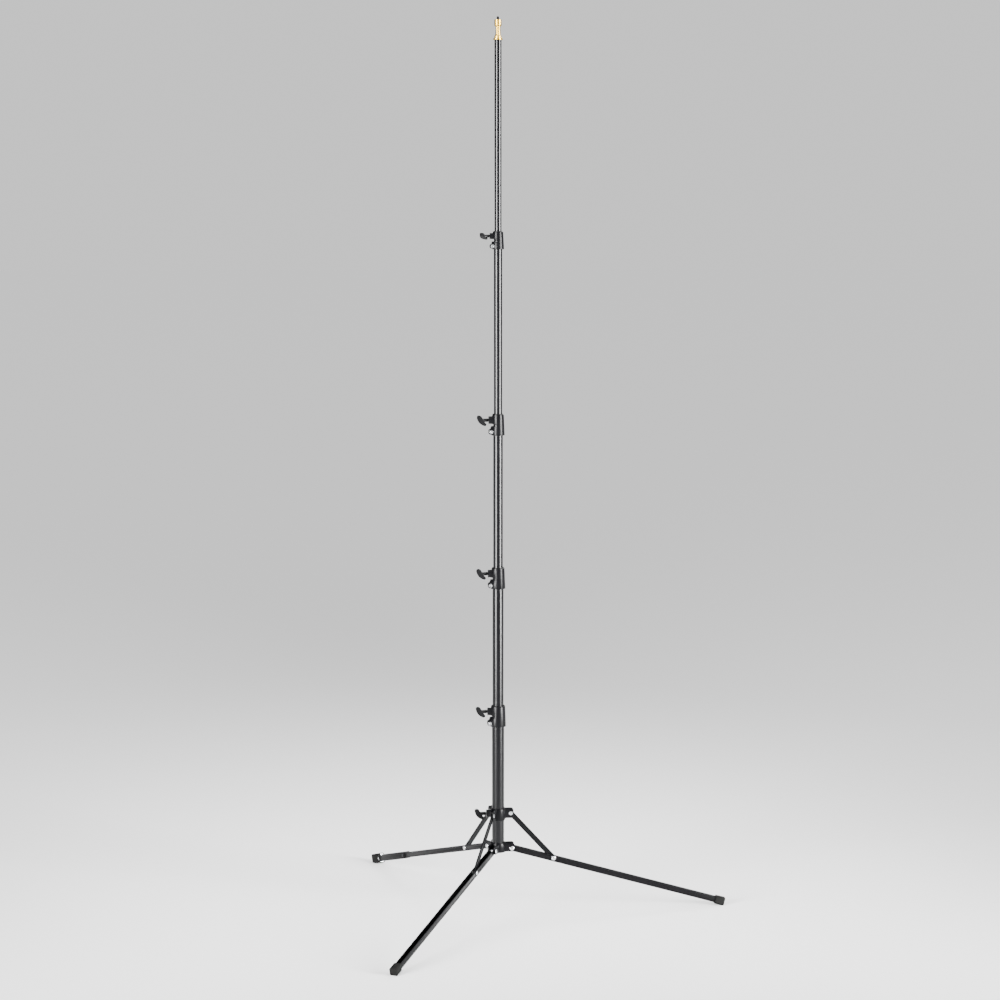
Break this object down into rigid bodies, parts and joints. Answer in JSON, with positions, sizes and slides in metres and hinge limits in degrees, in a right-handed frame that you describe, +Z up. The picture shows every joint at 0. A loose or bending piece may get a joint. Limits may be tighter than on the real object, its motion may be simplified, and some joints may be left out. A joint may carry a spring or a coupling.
{
  "type": "telescopic lighting stand",
  "caption": "Tall telescopic lighting stand: nested black tubes with T-knob collars, a brass spigot, and a braced folding tripod with a levelling leg.",
  "frame": {"origin": "middle of the footprint box, on the floor", "axes": "+Z up the column, +X along leg a, clamp knobs towards -X, levelling leg c on the +Y side"},
  "size_m": [0.8182, 0.9434, 2.063],
  "materials": {
    "tube_black": "gloss black anodised tube",
    "cast_black": "satin black powder coat",
    "leg_black": "satin black",
    "knob_black": "fine-textured nylon",
    "bush_black": "moulded acetal",
    "bright_steel": "zinc-plated",
    "dark_steel": "dark zinc",
    "brass": "polished",
    "rubber": "matt"
  },
  "bodies": {
    "base": {"hub": "cast_black", "tube_plug": "knob_black", "tube_1": "tube_black", "hub_pin_a": "bright_steel", "hub_pin_b": "bright_steel", "hub_pin_c": "bright_steel", "collar_1": "cast_black", "collar_1_bush": "bush_black", "collar_1_bolt": "bright_steel", "collar_1_nut": "bright_steel"},
    "stage_2": {"tube_2": "tube_black", "collar_2": "cast_black", "collar_2_bush": "bush_black", "collar_2_bolt": "bright_steel", "collar_2_nut": "bright_steel"},
    "stage_3": {"tube_3": "tube_black", "collar_3": "cast_black", "collar_3_bush": "bush_black", "collar_3_bolt": "bright_steel", "collar_3_nut": "bright_steel"},
    "stage_4": {"tube_4": "tube_black", "collar_4": "cast_black", "collar_4_bush": "bush_black", "collar_4_bolt": "bright_steel", "collar_4_nut": "bright_steel"},
    "stage_5": {"tube_5": "tube_black", "spigot": "brass", "spigot_stud": "dark_steel"},
    "clamp_1": {"collar_1_screw": "dark_steel", "collar_1_knob": "knob_black"},
    "clamp_2": {"collar_2_screw": "dark_steel", "collar_2_knob": "knob_black"},
    "clamp_3": {"collar_3_screw": "dark_steel", "collar_3_knob": "knob_black"},
    "clamp_4": {"collar_4_screw": "dark_steel", "collar_4_knob": "knob_black"},
    "slider": {"slider_collar": "cast_black", "slider_rivet_a_left": "bright_steel", "slider_rivet_a_right": "bright_steel", "slider_rivet_b_left": "bright_steel", "slider_rivet_b_right": "bright_steel", "slider_rivet_c_left": "bright_steel", "slider_rivet_c_right": "bright_steel"},
    "slider_clamp": {"slider_screw": "dark_steel", "slider_knob": "knob_black"},
    "leg_a_link": {"leg_a": "leg_black", "brace_pin_a": "bright_steel", "foot_a": "rubber"},
    "brace_a_link": {"brace_a": "leg_black"},
    "leg_b_link": {"leg_b": "leg_black", "brace_pin_b": "bright_steel", "foot_b": "rubber"},
    "brace_b_link": {"brace_b": "leg_black"},
    "leg_c_link": {"leg_c": "leg_black", "brace_pin_c": "bright_steel"},
    "brace_c_link": {"brace_c": "leg_black"},
    "level": {"level_sleeve": "leg_black", "level_ring": "bright_steel", "foot_c": "rubber"},
    "level_lock": {"level_screw": "dark_steel"}
  },
  "joints": [
    {"name": "stage_2_slide", "type": "slide", "parent": "base", "child": "stage_2", "axis": [0, 0, -1], "range_m": [0, 0.273]},
    {"name": "stage_3_slide", "type": "slide", "parent": "stage_2", "child": "stage_3", "axis": [0, 0, -1], "range_m": [0, 0.305]},
    {"name": "stage_4_slide", "type": "slide", "parent": "stage_3", "child": "stage_4", "axis": [0, 0, -1], "range_m": [0, 0.374]},
    {"name": "stage_5_slide", "type": "slide", "parent": "stage_4", "child": "stage_5", "axis": [0, 0, -1], "range_m": [0, 0.415]},
    {"name": "slider_slide", "type": "slide", "parent": "base", "child": "slider", "axis": [0, 0, 1], "range_m": [0, 0.16814]},
    {"name": "leg_a_fold", "type": "hinge", "parent": "base", "child": "leg_a_link", "pos_m": [-0.09862, -0.00067, 0.1508], "axis": [0, -1, 0], "range_deg": [0, 105.8]},
    {"name": "brace_a_fold", "type": "hinge", "parent": "leg_a_link", "child": "brace_a_link", "pos_m": [-0.0002, -0.00067, 0.12399], "axis": [0, -1, 0], "range_deg": [-147.88, 0]},
    {"name": "leg_b_fold", "type": "hinge", "parent": "base", "child": "leg_b_link", "pos_m": [-0.14632, -0.02821, 0.1508], "axis": [-0.866, 0.5, 0], "range_deg": [0, 105.8]},
    {"name": "brace_b_fold", "type": "hinge", "parent": "leg_b_link", "child": "brace_b_link", "pos_m": [-0.19553, -0.11344, 0.12399], "axis": [-0.866, 0.5, 0], "range_deg": [-147.88, 0]},
    {"name": "leg_c_fold", "type": "hinge", "parent": "base", "child": "leg_c_link", "pos_m": [-0.14632, 0.02687, 0.1508], "axis": [0.866, 0.5, 0], "range_deg": [0, 105.8]},
    {"name": "brace_c_fold", "type": "hinge", "parent": "leg_c_link", "child": "brace_c_link", "pos_m": [-0.19553, 0.1121, 0.12399], "axis": [0.866, 0.5, 0], "range_deg": [-147.88, 0]},
    {"name": "clamp_1_turn", "type": "hinge", "parent": "base", "child": "clamp_1", "pos_m": [-0.15972, -0.00067, 0.475], "axis": [-1, 0, 0], "range_deg": [0, 270]},
    {"name": "clamp_2_turn", "type": "hinge", "parent": "stage_2", "child": "clamp_2", "pos_m": [-0.15812, -0.00067, 0.798], "axis": [-1, 0, 0], "range_deg": [0, 270]},
    {"name": "clamp_3_turn", "type": "hinge", "parent": "stage_3", "child": "clamp_3", "pos_m": [-0.15652, -0.00067, 1.153], "axis": [-1, 0, 0], "range_deg": [0, 270]},
    {"name": "clamp_4_turn", "type": "hinge", "parent": "stage_4", "child": "clamp_4", "pos_m": [-0.15497, -0.00067, 1.572], "axis": [-1, 0, 0], "range_deg": [0, 270]},
    {"name": "slider_clamp_turn", "type": "hinge", "parent": "slider", "child": "slider_clamp", "pos_m": [-0.17042, -0.00067, 0.2335], "axis": [-1, 0, 0], "range_deg": [0, 270]},
    {"name": "level_slide", "type": "slide", "parent": "leg_c_link", "child": "level", "axis": [-0.4811, 0.8333, -0.2723], "range_m": [0, 0.08]},
    {"name": "level_lock_turn", "type": "hinge", "parent": "level", "child": "level_lock", "pos_m": [-0.33588, 0.33919, 0.04744], "axis": [-0.866, -0.5, 0], "range_deg": [0, 270]}
  ],
  "couplings": [
    {"joint": "slider_slide", "follows": "leg_a_fold", "m_per_rad": 0.091044},
    {"joint": "leg_b_fold", "follows": "leg_a_fold", "ratio": 1},
    {"joint": "leg_c_fold", "follows": "leg_a_fold", "ratio": 1},
    {"joint": "brace_a_fold", "follows": "leg_a_fold", "ratio": -1.3976},
    {"joint": "brace_b_fold", "follows": "leg_a_fold", "ratio": -1.3976},
    {"joint": "brace_c_fold", "follows": "leg_a_fold", "ratio": -1.3976}
  ]
}
